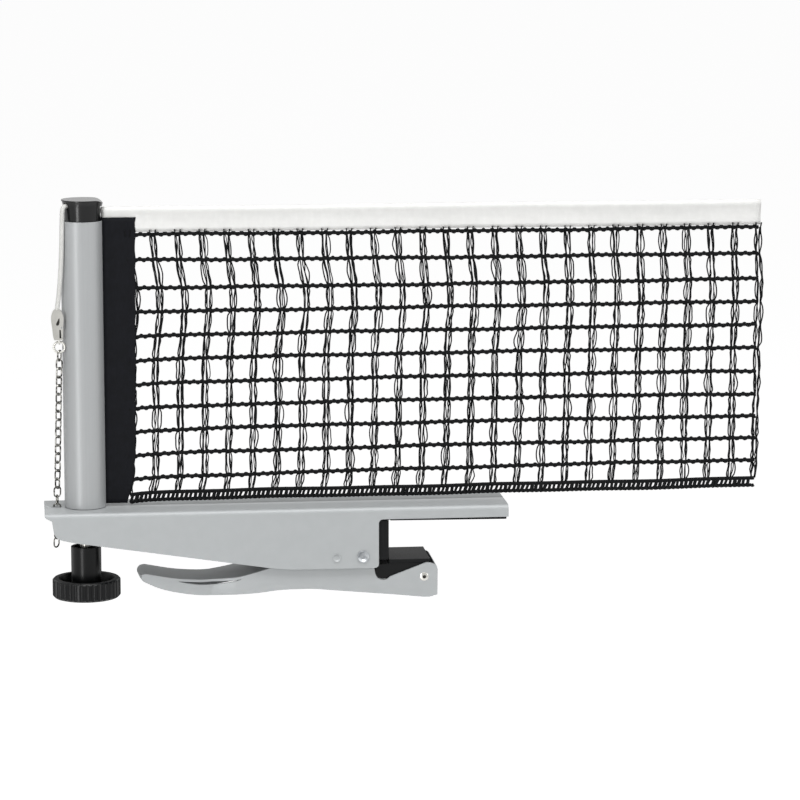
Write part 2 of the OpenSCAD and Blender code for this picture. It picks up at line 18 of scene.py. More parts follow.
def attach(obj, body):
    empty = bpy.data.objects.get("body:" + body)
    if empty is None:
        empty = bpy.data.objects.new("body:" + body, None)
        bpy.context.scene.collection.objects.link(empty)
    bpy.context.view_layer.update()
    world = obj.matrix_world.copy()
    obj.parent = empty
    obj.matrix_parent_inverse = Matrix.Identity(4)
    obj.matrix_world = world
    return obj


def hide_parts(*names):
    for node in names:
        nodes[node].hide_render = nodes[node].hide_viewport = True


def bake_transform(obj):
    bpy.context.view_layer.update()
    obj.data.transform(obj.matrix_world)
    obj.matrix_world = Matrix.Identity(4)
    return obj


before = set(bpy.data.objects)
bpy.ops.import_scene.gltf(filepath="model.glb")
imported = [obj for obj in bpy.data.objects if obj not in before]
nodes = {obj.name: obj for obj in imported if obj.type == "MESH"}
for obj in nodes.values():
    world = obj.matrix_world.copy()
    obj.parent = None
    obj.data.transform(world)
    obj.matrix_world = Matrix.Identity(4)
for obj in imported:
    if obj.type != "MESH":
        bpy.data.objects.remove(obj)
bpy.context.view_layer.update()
scene = bpy.context.scene
MM = 0.001

# %% [markdown]
# ## Camera
# A long lens stands back and looks slightly down and to the right, which keeps the upright post
# nearly parallel to the picture's edge. The lens is given by how many pixels away the picture
# plane lies, because that is what a camera fit measures.

# %% Camera
IMAGE_SIDE = 800
PLANE_DISTANCE = 3400
SENSOR = 36
# metres, past the far side of the floor
CLIP_END = 100
CAMERA_PLACE = Vector((-173.27, -1623.52, 326.38))
TURN = math.radians(6.347)
DOWN = math.radians(9.396)

camera_data = bpy.data.cameras.new("camera")
camera_data.sensor_width = SENSOR
camera_data.lens = SENSOR * PLANE_DISTANCE / IMAGE_SIDE
camera_data.clip_end = CLIP_END
camera = bpy.data.objects.new("camera", camera_data)
camera.location = CAMERA_PLACE * MM
camera.rotation_euler = (math.pi / 2 - DOWN, 0, -TURN)
scene.collection.objects.link(camera)
scene.camera = camera
scene.view_settings.view_transform = "Standard"
print("lens", round(camera_data.lens, 1), "mm")

# %% [markdown]
# ## Lines and tubes
# Cords and threads follow smooth lines. A Catmull-Rom curve goes through every point it is
# given, so a few listed points are enough. A bevelled curve then makes the round thread, and
# it is turned to a mesh.


# %% Helpers for lines and tubes
def smooth_line(points, steps):
    """A curve through all the points, with steps parts between two of them."""
    last = len(points) - 1
    line = []
    for i in range(last):
        a, b = points[max(i - 1, 0)], points[i]
        c, d = points[i + 1], points[min(i + 2, last)]
        for k in range(steps):
            t = k / steps
            bend = a - b * 2.5 + c * 2 - d / 2
            twist = (b - c) * 1.5 + (d - a) / 2
            line.append(b + (c - a) * (t / 2) + bend * t**2 + twist * t**3)
    return line + [points[-1]]


def tube_mesh(name, lines, sides=6):
    """One mesh of round threads; each line is a list of points and a radius."""
    curve = bpy.data.curves.new(name, "CURVE")
    curve.dimensions = "3D"
    curve.bevel_depth = 1
    curve.bevel_resolution = (sides - 4) // 2
    curve.use_fill_caps = True
    for points, radius in lines:
        spline = curve.splines.new("POLY")
        spline.points.add(len(points) - 1)
        for place, point in zip(points, spline.points):
            point.co = (*place, 1)
            point.radius = radius
    holder = bpy.data.objects.new(name, curve)
    scene.collection.objects.link(holder)
    bpy.context.view_layer.update()
    evaluated = holder.evaluated_get(bpy.context.evaluated_depsgraph_get())
    mesh = bpy.data.meshes.new_from_object(evaluated)
    bpy.data.objects.remove(holder)
    return mesh


# %% [markdown]
# ## Finishing a piece
# A mesh that is built here first has its faces turned outwards, unless they already are. Every
# piece then goes through one function. It scales the mesh to metres, marks the edges that stay
# sharp, and says which body carries the piece, which solids of the frame it stands for and
# which finish it wears.


# %% Helper that finishes a piece
SHARP = math.radians(35)
# in radians; a thread or a wire has no edge that bends more
NO_SHARP_EDGE = 3


def set_piece(name, mesh, material, body, stands_for=(), sharp=SHARP):
    """Makes a piece of the object from a mesh in millimetres."""
    mesh.transform(Matrix.Scale(MM, 4))
    mesh.materials.clear()
    mesh.materials.append(material)
    mesh.shade_smooth()
    mesh.set_sharp_from_angle(angle=sharp)
    thing = bpy.data.objects.new(name, mesh)
    scene.collection.objects.link(thing)
    if body:
        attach(thing, body)
    if stands_for:
        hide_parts(*stands_for)
    return thing


def mesh_of(bm, name, outwards=True):
    """Turns a bmesh to a mesh; outwards=False is for faces that already point outwards."""
    if outwards:
        bmesh.ops.recalc_face_normals(bm, faces=bm.faces)
    mesh = bpy.data.meshes.new(name)
    bm.to_mesh(mesh)
    bm.free()
    return mesh


# %% [markdown]
# ## Colours and nodes
# A hex colour is what the eye sees on a screen, so it is turned to linear light first. One
# helper adds any node with its settings and links, which keeps each finish short to read.


# %% Helpers for materials
def linear(hex_colour):
    """An sRGB hex colour as linear RGBA."""
    channels = [int(hex_colour[i : i + 2], 16) / 255 for i in (1, 3, 5)]
    light = [c / 12.92 if c <= 0.04045 else ((c + 0.055) / 1.055) ** 2.4 for c in channels]
    return (*light, 1)


def add_node(tree, kind, sockets=None, **settings):
    """Adds a node; sockets are values or links by input, settings are its own properties."""
    node = tree.nodes.new(kind)
    for key, value in settings.items():
        setattr(node, key, value)
    for key, value in (sockets or {}).items():
        if isinstance(value, bpy.types.NodeSocket):
            tree.links.new(value, node.inputs[key])
        else:
            node.inputs[key].default_value = value
    return node


def start_material(name, **values):
    """A new material with the shader's plain values set, and its Object coordinates."""
    material = bpy.data.materials.new(name)
    material.use_nodes = True
    tree = material.node_tree
    shader = tree.nodes["Principled BSDF"]
    for key, value in values.items():
        shader.inputs[key.replace("_", " ")].default_value = value
    where = add_node(tree, "ShaderNodeTexCoord").outputs["Object"]
    return material, tree, shader, where


# %% [markdown]
# ## Hard finishes
# Paint, metal and plastic differ in their numbers more than in their make. Each has clouds of
# two shades, a roughness that follows the clouds and a relief too low to see as such. So one
# function makes them all, and each finish gives the size of its grain in millimetres along the
# three axes: a drawn tube has a grain that is long in one of them.


# %% Hard finishes
CLOUD_DETAIL = 3.0
# the clouds' grey where the shade is darkest and lightest, and the roughness least and most
CLOUD_DARK, CLOUD_LIGHT = 0.4, 0.6
CLOUD_LEAST, CLOUD_MOST = 0.3, 0.7


def hard_finish(name, dark, light, grain, relief, rough, **values):
    """A paint, metal or plastic: two shades, grain and relief in mm, rough as a range."""
    material, tree, shader, where = start_material(name, **values)
    scale = [1 / (size * MM) for size in grain]
    place = add_node(tree, "ShaderNodeMapping", {"Vector": where, "Scale": scale})
    clouds = add_node(
        tree,
        "ShaderNodeTexNoise",
        {"Vector": place.outputs[0], "Scale": 1.0, "Detail": CLOUD_DETAIL},
    )
    share = add_node(
        tree,
        "ShaderNodeMapRange",
        {0: clouds.outputs[0], 1: CLOUD_DARK, 2: CLOUD_LIGHT, 3: 0.0, 4: 1.0},
    )
    shade = add_node(
        tree,
        "ShaderNodeMix",
        {0: share.outputs[0], 6: linear(dark), 7: linear(light)},
        data_type="RGBA",
    )
    worn = add_node(
        tree,
        "ShaderNodeMapRange",
        {0: clouds.outputs[0], 1: CLOUD_LEAST, 2: CLOUD_MOST, 3: rough[0], 4: rough[1]},
    )
    bump = add_node(
        tree, "ShaderNodeBump", {"Height": clouds.outputs[0], "Distance": relief * MM}
    )
    tree.links.new(shade.outputs[2], shader.inputs["Base Color"])
    tree.links.new(worn.outputs[0], shader.inputs["Roughness"])
    tree.links.new(bump.outputs[0], shader.inputs["Normal"])
    return material


# baked silver enamel: fine flakes give a soft sheen, and the film is smooth and even
ENAMEL = hard_finish(
    "silver enamel on steel", "#a3a6a7", "#a5a8a9", (6, 6, 6), 0.004, (0.5, 0.56), Metallic=0.2
)
# dark grey and dull: painted shade on the lever's inner faces
LEVER_INSIDE_SHADE = hard_finish(
    "dark grey steel as painted shade inside the lever", "#4a4c4d", "#545657", (3, 3, 3), 0.004, (0.6, 0.7),
    Specular_IOR_Level=0.3,
)
# satin anodised tube, drawn lengthwise: fine upright lines and a broad soft highlight
ALUMINIUM = hard_finish(
    "satin anodised aluminium", "#9fa1a2", "#a1a3a4", (0.6, 0.6, 60), 0.001, (0.36, 0.4),
    Metallic=0.1,
)
# nickel plate: a hard bright mirror, a little softened by handling
NICKEL = hard_finish(
    "nickel plated steel", "#bab9b4", "#c1c0bb", (5, 5, 5), 0.003, (0.2, 0.26), Metallic=1
)
# the chain's nickel: bright, with painted dark reflections in clouds over the links
CHAIN_NICKEL_PAINTED_REFLECTIONS = hard_finish(
    "nickel on the chain with painted dark reflections", "#9f9e99", "#2a2926", (1.4, 1.4, 1.4), 0.004, (0.16, 0.3),
    Metallic=1,
)
# nearly black steel inside the clasp, put there as painted shade for its hole and slit
CLASP_SHADE_STEEL = hard_finish(
    "dark steel as painted shade in the clasp", "#1d1c1a", "#2a2926", (1.5, 1.5, 1.5), 0.004, (0.4, 0.5),
    Specular_IOR_Level=0.2,
)
# dull zinc on spring steel and on the inner fittings
ZINC = hard_finish(
    "zinc plated spring steel", "#8f9295", "#a5a8aa", (1.6, 1.6, 1.6), 0.01, (0.32, 0.42),
    Metallic=1,
)
# turned brass, warm and soft
BRASS = hard_finish(
    "turned brass", "#b89658", "#ceac6e", (2, 2, 2), 0.004, (0.26, 0.34), Metallic=1
)
# moulded ABS with a spark-eroded grain that breaks its highlights a little
KNOB_PLASTIC = hard_finish(
    "moulded black ABS", "#050607", "#08090a", (0.9, 0.9, 0.9), 0.004, (0.26, 0.32),
    IOR=1.5, Specular_IOR_Level=0.2,
)
# spark-eroded grain hides its own highlights at a slant, so the knob is dullest there
SLANT_FROM, SLANT_TO = 0.6, 0.9
ROUGH_FACING, ROUGH_SLANTED = 0.28, 1.0
knob_tree = KNOB_PLASTIC.node_tree
knob_shader = knob_tree.nodes["Principled BSDF"]
knob_slant = add_node(knob_tree, "ShaderNodeLayerWeight", {"Blend": 0.5}).outputs["Facing"]
knob_dulling = add_node(
    knob_tree,
    "ShaderNodeMapRange",
    {0: knob_slant, 1: SLANT_FROM, 2: SLANT_TO, 3: ROUGH_FACING, 4: ROUGH_SLANTED},
)
knob_tree.links.new(knob_dulling.outputs[0], knob_shader.inputs["Roughness"])
# smooth polypropylene: a deep charcoal with narrow, clear highlights
CAP_PLASTIC = hard_finish(
    "charcoal polypropylene", "#08090a", "#0b0c0d", (3, 3, 3), 0.003, (0.2, 0.24),
    IOR=1.49, Specular_IOR_Level=0.34,
)
# black rubber, nearly matt
RUBBER = hard_finish(
    "black rubber", "#08090a", "#0e0f10", (0.8, 0.8, 0.8), 0.02, (0.5, 0.6),
    IOR=1.5, Specular_IOR_Level=0.15,
)
print("hard finishes:", len(bpy.data.materials))

# %% [markdown]
# ## Cloth and yarn
# The sleeve and the tape are plain weave. Two sets of wave bands at right angles, each as far
# apart as the threads, make the weave, and the larger of the two at a point is the thread on
# top. The threads are drawn coarser than the real ones so that the weave shows. Yarn is ply
# twisted round ply: slanted bands under a fine fuzz.

# %% Cloth and yarn
# a Wave texture at scale 1 repeats every 2 pi / 20 metres
WAVE_REPEAT = 2 * math.pi / 20
BAND_WOBBLE = 0.5
FUZZ_THREADS = 6
# the heights in the weave at which a thread is darkest and lightest
WEAVE_DARK, WEAVE_LIGHT = 0.15, 0.7


def cloth_finish(name, dark, light, thread, lean, relief, **values):
    """Threads of the given size in millimetres, crossed upright or leaning by an angle."""
    material, tree, shader, where = start_material(name, **values)
    leaning = add_node(
        tree, "ShaderNodeMapping", {"Vector": where, "Rotation": (0, math.radians(lean), 0)}
    )
    bands = {
        "Vector": leaning.outputs[0],
        "Scale": WAVE_REPEAT / (thread * MM),
        "Distortion": BAND_WOBBLE,
    }
    across = add_node(tree, "ShaderNodeTexWave", bands, bands_direction="X")
    along = add_node(tree, "ShaderNodeTexWave", bands, bands_direction="Z")
    top_thread = add_node(
        tree,
        "ShaderNodeMath",
        {0: across.outputs["Fac"], 1: along.outputs["Fac"]},
        operation="MAXIMUM",
    )
    # fuzz a few threads wide makes the cloth uneven
    fuzz_scale = 1 / (FUZZ_THREADS * thread * MM)
    fuzz = add_node(
        tree, "ShaderNodeTexNoise", {"Vector": where, "Scale": fuzz_scale, "Detail": CLOUD_DETAIL}
    )
    height = add_node(
        tree, "ShaderNodeMath", {0: top_thread.outputs[0], 1: fuzz.outputs[0]}, operation="MULTIPLY"
    )
    shade = add_node(
        tree,
        "ShaderNodeMapRange",
        {0: height.outputs[0], 1: WEAVE_DARK, 2: WEAVE_LIGHT, 3: 0.0, 4: 1.0},
    )
    colour = add_node(
        tree,
        "ShaderNodeMix",
        {0: shade.outputs[0], 6: linear(dark), 7: linear(light)},
        data_type="RGBA",
    )
    bump = add_node(
        tree, "ShaderNodeBump", {"Height": height.outputs[0], "Distance": relief * MM}
    )
    tree.links.new(colour.outputs[2], shader.inputs["Base Color"])
    tree.links.new(bump.outputs[0], shader.inputs["Normal"])
    return material


# black polyester cloth, dull, with a fine weave
SLEEVE_CLOTH = cloth_finish(
    "black polyester cloth", "#0b0c0f", "#131419", 0.5, 0, 0.04,
    Roughness=0.85, Specular_IOR_Level=0.15,
)
# bleached cotton tape: chalk white and matt
TAPE_CLOTH = cloth_finish(
    "white cotton tape", "#dbdbd9", "#e6e6e4", 0.6, 0, 0.04,
    Roughness=0.9, Specular_IOR_Level=0.2,
)
# black polyester yarn, twisted, with a dry surface
NET_YARN = cloth_finish(
    "black polyester yarn", "#08090a", "#121315", 0.9, 40, 0.1,
    Roughness=0.85, Specular_IOR_Level=0.15,
)
# white braided cord, a shade greyer than the tape
CORD_YARN = cloth_finish(
    "white braided cord", "#c4c4c1", "#d6d6d3", 0.8, 45, 0.08,
    Roughness=0.8, Specular_IOR_Level=0.2,
)
print("materials:", len(bpy.data.materials))

# %% [markdown]
# ## Cord
# The net's cord lies in the top fold of the tape, goes through the cap and comes out on its
# other side, bends over the tube's rim and runs down beside the post to the clasp. It is taut,
# so its line has no slack. On the clamp its upper part moves with the post and the clasp stays
# with the arm; here the cord is one fixed piece on no body.

# %% Cord
CORD_RADIUS = 1.15
CORD_STEPS = 6
CORD_SIDES = 12
NET_END = 184.4
CORD_Z = 150.5
EXIT_Z = 153.35
POST_X = -146
CORD_Y = -6.3
CAP_EXIT = Vector((-9.3, CORD_Y, 0)).normalized()
# heights of two points on the cord's line beside the post, a lower and an upper one
BLEND_FOOT, BLEND_TOP = 112, 146


def beside_post(reach, z):
    """A point at a distance from the post's axis, in the direction of the cap's hole."""
    return Vector((POST_X, 0, z)) + CAP_EXIT * reach


cord_points = [
    Vector((NET_END, 0, CORD_Z)),
    Vector((-128, 0, CORD_Z)),
    Vector((POST_X + 5, 0, CORD_Z)),
    Vector((POST_X, 0, (CORD_Z + EXIT_Z) / 2)),
    beside_post(3.4, EXIT_Z),
    beside_post(7.6, EXIT_Z),
    beside_post(9.5, EXIT_Z - 0.25),
    beside_post(10.4, EXIT_Z - 1.1),
    beside_post(10.85, EXIT_Z - 2.9),
    beside_post(11.1, BLEND_TOP),
    Vector((-155.9, CORD_Y - 0.1, 127)),
    Vector((-157.1, CORD_Y, BLEND_FOOT)),
    Vector((-158.1, CORD_Y, 104.4)),
    Vector((-158.1, CORD_Y, 101.4)),
]
cord_line = [cord_points[0]] + smooth_line(cord_points[1:], CORD_STEPS)
cord_length = sum((b - a).length for a, b in zip(cord_line, cord_line[1:]))
cord_mesh = tube_mesh("cord", [(cord_line, CORD_RADIUS)], CORD_SIDES)
cord = set_piece("tension_cord_whole", cord_mesh, CORD_YARN, None)
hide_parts("net_cord", "tension_cord")
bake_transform(cord)
print("cord", round(cord_length), "mm long")

# %% [markdown]
# ## Level strings of the net
# Each level string is a soft core with a thinner strand wound round it. From the front the
# strand shows as bumps that alternate between the upper and the lower side. A twisted pattern
# on a plain tube would leave its outline smooth, so the strand is a tube of its own. The strings
# hang a little unevenly: each one's height is given at the sleeve, in the middle and at the cut
# end.

# %% Level strings
SEED = 11
random.seed(SEED)
ROWS = (
    (138.8, 138.5, 138.7),
    (126.5, 125.8, 125.9),
    (113.0, 112.8, 113.4),
    (101.2, 101.7, 101.9),
    (89.8, 90.4, 90.6),
    (78.2, 79.1, 78.9),
    (66.3, 67.6, 67.3),
    (54.7, 56.3, 56.0),
    (43.4, 45.0, 44.9),
    (31.8, 33.5, 34.0),
    (20.2, 22.2, 23.0),
)
# the hem's upper cord, given in the same way
HEM = (13.1, 13.3, 13.8)
# where they meet the sleeve, the strings below the last height sag: how deep, over what length
SAG, SAG_LENGTH, SAG_BELOW = 0.6, 7, 100
# slow unevenness of a string: size, millimetres to a radian, and its shift from row to row
LONG_WAVE = (0.14, 19, 2.1)
SHORT_WAVE = (0.1, 8.5, 1.3)
WRAP_PITCH = 4.05
CORE_RADIUS, WRAP_RADIUS, WRAP_OFFSET = 0.86, 0.66, 0.76
WRAP_STEPS = 8
# the core needs fewer points than the strand round it
CORE_EVERY = 3
# a strand isn't wound evenly: radians that it runs ahead, and millimetres to a radian
WRAP_DRIFT, WRAP_DRIFT_LENGTH = 0.5, 7
# each strand starts at an angle of its own up to this one, in radians
ANY_PHASE = 6
# how far a string runs on inside the sleeve
HIDDEN_END = 2
SLEEVE_EDGE = [
    Vector((-119.9, 0, 147.2)),
    Vector((-120.6, 0, 66)),
    Vector((-121.5, 0, 27)),
    Vector((-125.2, 0, 8)),
]
EDGE_STEPS = 12
EDGE_LINE = smooth_line(SLEEVE_EDGE, EDGE_STEPS)
EDGE_TOP = EDGE_LINE[0].x
# between two strings the sleeve's edge draws back by the first, fully so from the second on
EDGE_PULL, EDGE_PULL_LENGTH = 0.55, 4


def sleeve_edge(z):
    """How far the sleeve's free edge reaches at a height; the strings pull it outwards."""
    for upper, lower in zip(EDGE_LINE, EDGE_LINE[1:]):
        if lower.z <= z <= upper.z:
            reach = upper.x + (lower.x - upper.x) * (upper.z - z) / (upper.z - lower.z)
            nearest = min(abs(z - heights[0]) for heights in ROWS)
            return reach - EDGE_PULL * min(1, nearest / EDGE_PULL_LENGTH)
    return EDGE_LINE[-1].x if z < EDGE_LINE[-1].z else EDGE_TOP


def wave(shape, x, number):
    """One of the slow waves, shifted by the string's number."""
    size, length, shift = shape
    return size * math.sin(x / length + number * shift)


def string_height(heights, x, number):
    """Height at x of a string that is given at its two ends and in the middle."""
    left, middle, right = heights
    t = (x - EDGE_TOP) / (NET_END - EDGE_TOP)
    hang = left * (1 - t) * (1 - 2 * t) + middle * 4 * t * (1 - t) + right * t * (2 * t - 1)
    uneven = wave(LONG_WAVE, x, number) + wave(SHORT_WAVE, x, number)
    sag = SAG * math.exp(-(x - EDGE_TOP) / SAG_LENGTH) if middle < SAG_BELOW else 0
    return hang + uneven - sag


def wound_string(start, end, height, pitch, offset, core, wrap):
    """A core from x = start to x = end with a strand wound round it."""
    count = int((end - start) / pitch * WRAP_STEPS)
    phase = random.uniform(0, ANY_PHASE)
    middle, winding = [], []
    for k in range(count + 1):
        x = start + (end - start) * k / count
        drift = WRAP_DRIFT * math.sin(x / WRAP_DRIFT_LENGTH + phase)
        turn = 2 * math.pi * x / pitch + phase + drift
        middle.append(Vector((x, 0, height(x))))
        winding.append(
            Vector((x, -offset * math.cos(turn), height(x) + offset * math.sin(turn)))
        )
    return [(middle[::CORE_EVERY] + [middle[-1]], core), (winding, wrap)]


row_lines = []
for row, heights in enumerate(ROWS):
    row_lines += wound_string(
        sleeve_edge(heights[0]) - HIDDEN_END,
        NET_END - CORE_RADIUS,
        lambda x, row=row: string_height(ROWS[row], x, row),
        WRAP_PITCH,
        WRAP_OFFSET,
        CORE_RADIUS,
        WRAP_RADIUS,
    )
level_strings = set_piece(
    "level_strings",
    tube_mesh("rows", row_lines),
    NET_YARN,
    "post",
    ["net_mesh"],
    NO_SHARP_EDGE,
)
print("level strings:", len(level_strings.data.polygons), "faces")

# %% [markdown]
# ## Upright strings of the net
# An upright is a pair of cords side by side, and each cord is a few loose threads. Between two
# level strings the threads part and leave narrow eyes, here and there a wide one. The whole
# pair drifts to the right over the first meshes and comes back, most of all near the sleeve.
# One upright could be copied along the net, but the copies would show. So each is drawn with
# its own small strays, and a fixed seed makes them the same in every run.

# %% Upright strings
STRING_PITCH = 11.82
FIRST_STRING = -112.1
UPRIGHTS = 26
# how far an upright has drifted to the right at each crossing, from the top one down
DRIFT = (0, 1.0, 3.2, 3.4, 2.2, 1.0, 0.8, 0.9, 0.7, 0.3, 0.2, -1.2)
# the drift grows smaller along the net, by this share at its end
DRIFT_FADE = 0.7
KNOT_STRAY = 0.25
# half the distance between the two cords of a pair
PAIR_HALF = 0.92
# each thread: which cord of the pair, its place in that cord, its radius
THREADS = (
    (-1, -1, 0.34),
    (-1, 0, 0.3),
    (-1, 1, 0.28),
    (1, -1, 0.28),
    (1, 0, 0.3),
    (1, 1, 0.34),
)
THREAD_SIDES, THREAD_STEPS = 4, 2
THREAD_GAP = 0.42
THREAD_GAP_AT_KNOT = 0.2
# the threads pass in front of and behind the level strings in turn
KNOT_DEPTH = 1.05
# an outer thread may stand off: how often it does so widely, and the two ranges
WIDE_EYE_SHARE = 0.22
WIDE_EYE, NARROW_EYE = (0.7, 1.2), (-0.1, 0.3)
# places of the points between two knots, and how far an eye is open there
EYE_POINTS = ((0.22, 0.7), (0.5, 1), (0.78, 0.7))
STRAY_ACROSS, STRAY_DEEP = 0.36, 0.4
# a short tuft of each cord is sewn to the tape above the first knot
TUFT_RADIUS = 0.4
TUFT_DEPTH, TUFT_DROP = -1.2, -0.8
TUFT_LEAN, TUFT_RISE = 0.25, 1.55


def knot_place(column, row, drift_share):
    """Where an upright crosses a level string, or the hem after the last one."""
    x = FIRST_STRING + column * STRING_PITCH + DRIFT[row] * drift_share
    x += random.uniform(-KNOT_STRAY, KNOT_STRAY)
    heights = ROWS[row] if row < len(ROWS) else HEM
    return Vector((x, 0, string_height(heights, x, row)))


def outer_eye():
    """How far the outer thread of a cord stands off in one mesh: mostly little."""
    return random.uniform(*(WIDE_EYE if random.random() < WIDE_EYE_SHARE else NARROW_EYE))


def upright(column):
    """The threads of one upright string."""
    drift_share = 1 - DRIFT_FADE * max(0, column) / UPRIGHTS
    knots = [knot_place(column, row, drift_share) for row in range(len(ROWS) + 1)]
    lines = []
    for side, place, radius in THREADS:
        points = []
        for k, knot in enumerate(knots):
            depth = -KNOT_DEPTH if (k + (side > 0)) % 2 else KNOT_DEPTH
            points.append(
                knot + Vector((side * PAIR_HALF + place * THREAD_GAP_AT_KNOT, depth, 0))
            )
            if k + 1 == len(knots):
                continue
            eye = outer_eye() if place == side else 0
            for share, opening in EYE_POINTS:
                across = side * (PAIR_HALF + eye * opening) + place * THREAD_GAP
                across += random.uniform(-STRAY_ACROSS, STRAY_ACROSS)
                deep = random.uniform(-STRAY_DEEP, STRAY_DEEP)
                points.append(knot.lerp(knots[k + 1], share) + Vector((across, deep, 0)))
        lines.append((smooth_line(points, THREAD_STEPS), radius))
    for side in (-1, 1):
        foot = knots[0] + Vector((side * PAIR_HALF, TUFT_DEPTH, TUFT_DROP))
        lean = Vector((side * TUFT_LEAN, -TUFT_LEAN, TUFT_RISE))
        lines.append(([foot, foot + lean, foot + lean * 2], TUFT_RADIUS))
    return lines


# the string before the first one lies behind the sleeve's edge and drifts out below it
upright_lines = []
for column in range(-1, UPRIGHTS):
    upright_lines += upright(column)
upright_strings = set_piece(
    "upright_strings",
    tube_mesh("columns", upright_lines, THREAD_SIDES),
    NET_YARN,
    "post",
    (),
    NO_SHARP_EDGE,
)
print("upright strings:", len(upright_strings.data.polygons), "faces")

# %% [markdown]
# ## Hem
# The net's lower edge is a narrow, dense ladder: a cord above, a cord below that dips once to
# each loop, and fat loops that all lean the same way and leave only thin slits. A band of cloth
# with a printed pattern would have no slits, and light comes through them, so every loop is a
# short thread.

# %% Hem
HEM_DROP = 3.6
# the cords end this far before the cut, and the loops keep as far off both their ends
HEM_INSET = 1
RUNG_PITCH = 2.2
RUNG_RADIUS = 0.9
RUNG_LEAN = 0.55
# shares by which a rung's lean and its thickness differ from the plain value
LEAN_SHARES, THICK_SHARES = (0.5, 1.4), (0.8, 1.15)
RUNG_DEPTH, WAIST_DEPTH, WAIST_STRAY = -0.5, 0.1, 0.25
RUNG_STEPS = 3
# the lower cord dips by this, once to each loop
HEM_DIP = 0.2
# the offset of the wound strand, the core's radius and the strand's radius
TOP_CORD = (0.45, 0.95, 0.55)
FOOT_CORD = (0.3, 0.9, 0.5)
hem_start = sleeve_edge(HEM[0])


def hem_top(x):
    """Height of the hem's upper cord at x."""
    return string_height(HEM, x, len(ROWS))


def hem_foot(x):
    """Height of the hem's lower cord at x, which dips once to each loop."""
    return hem_top(x) - HEM_DROP - HEM_DIP * math.cos(2 * math.pi * x / RUNG_PITCH)


hem_end = NET_END - HEM_INSET
hem_lines = wound_string(hem_start, hem_end, hem_top, 2 * RUNG_PITCH, *TOP_CORD)
hem_lines += wound_string(hem_start, hem_end, hem_foot, RUNG_PITCH, *FOOT_CORD)
for k in range(int((hem_end - HEM_INSET - hem_start) / RUNG_PITCH)):
    x = hem_start + HEM_INSET + k * RUNG_PITCH
    lean = RUNG_LEAN * random.uniform(*LEAN_SHARES)
    head = Vector((x + lean, RUNG_DEPTH, hem_top(x)))
    foot = Vector((x - lean, RUNG_DEPTH, hem_foot(x)))
    stray = Vector((random.uniform(-WAIST_STRAY, WAIST_STRAY), WAIST_DEPTH, 0))
    waist = head.lerp(foot, 0.5) + stray
    radius = RUNG_RADIUS * random.uniform(*THICK_SHARES)
    hem_lines.append((smooth_line([head, waist, foot], RUNG_STEPS), radius))
hem = set_piece(
    "hem_ladder",
    tube_mesh("hem", hem_lines),
    NET_YARN,
    "post",
    ["bottom_hem"],
    NO_SHARP_EDGE,
)
print("hem:", len(hem.data.polygons), "faces")

# %% [markdown]
# ## Tape
# The white tape is one strip of cotton, folded lengthwise over the cord. Its section is drawn
# once, up the front, round the cord and down the back, and it is extruded along the net in
# short steps, each moved a little, so that the cloth isn't dead flat. Cloth could be simulated
# instead, but a taut tape hardly moves, and waves by a formula are the same in every run. Over
# the sleeve only its top fold runs on, into the cap's mouth.

# %% Tape
TAPE_LEFT = -136.6
TAPE_NECK = -122.2
TAPE_FOOT = 139.9
TAPE_HALF = 0.62
TAPE_TOP_RADIUS = 1.75
TAPE_STEPS = 90
TAPE_THICK = 0.3
SLEEVE_TOP = 147.2
# over the sleeve only the fold above this height runs on; a share of what hangs lower is left
NECK_Z = 147.4
NECK_SHARE = 0.12
NECK_STEPS = 6
# the hanging part is drawn up over the first length, where it hangs more than the second
NECK_GATHER, NECK_LOOSE = 0.3, 0.3
GATHERED_HALF = 0.98
# the front half of the section, from its lower edge to the cord, as y and z
TAPE_FRONT = [
    (-TAPE_HALF, TAPE_FOOT),
    (-TAPE_HALF, 142),
    (-TAPE_HALF - 0.05, 144.5),
    (-TAPE_HALF - 0.2, 146),
    (-1.05, NECK_Z),
    (-1.35, 149),
]
# the fold round the cord, in degrees: where it starts, how far it goes, in how many parts
FOLD_START, FOLD_SWEEP, FOLD_PARTS = 190, 200, 8
# the tape is still above the first height and waves fully this far below it
STILL_Z, STILL_LENGTH = 149, 6
# waves of the cloth: size, and millimetres to a radian along the net and upwards
TAPE_WAVES = ((0.14, 17, math.inf), (0.07, 6.3, 3))
TAPE_RISE, TAPE_RISE_LENGTH = 0.1, 29


def tape_section():
    """The folded strip from its front lower edge over the cord to its back lower edge."""
    fold = []
    for k in range(FOLD_PARTS + 1):
        angle = math.radians(FOLD_START - FOLD_SWEEP * k / FOLD_PARTS)
        fold.append(
            (TAPE_TOP_RADIUS * math.cos(angle), CORD_Z + TAPE_TOP_RADIUS * math.sin(angle))
        )
    return TAPE_FRONT + fold + [(-y, z) for y, z in reversed(TAPE_FRONT)]


def extruded_strip(section, places, move):
    """Extrudes a section of points along x and moves every point of each step."""
    bm = bmesh.new()
    row = [bm.verts.new((places[0], y, z)) for y, z in section]
    edges = [bm.edges.new(pair) for pair in zip(row, row[1:])]
    for before, place in zip(places, places[1:]):
        made = bmesh.ops.extrude_edge_only(bm, edges=edges)["geom"]
        moved = [item for item in made if isinstance(item, bmesh.types.BMVert)]
        edges = [item for item in made if isinstance(item, bmesh.types.BMEdge)]
        edges = [edge for edge in edges if all(vert in moved for vert in edge.verts)]
        bmesh.ops.translate(bm, verts=moved, vec=(place - before, 0, 0))
    for vert in bm.verts:
        vert.co += move(vert.co)
    return bm


def tape_wave(place):
    """Gentle waves that fade out at the cord."""
    loose = min(1, max(0, (STILL_Z - place.z) / STILL_LENGTH))
    billow = sum(
        size * math.sin(place.x / along + place.z / up) for size, along, up in TAPE_WAVES
    )
    return Vector((0, billow * loose, TAPE_RISE * math.sin(place.x / TAPE_RISE_LENGTH)))


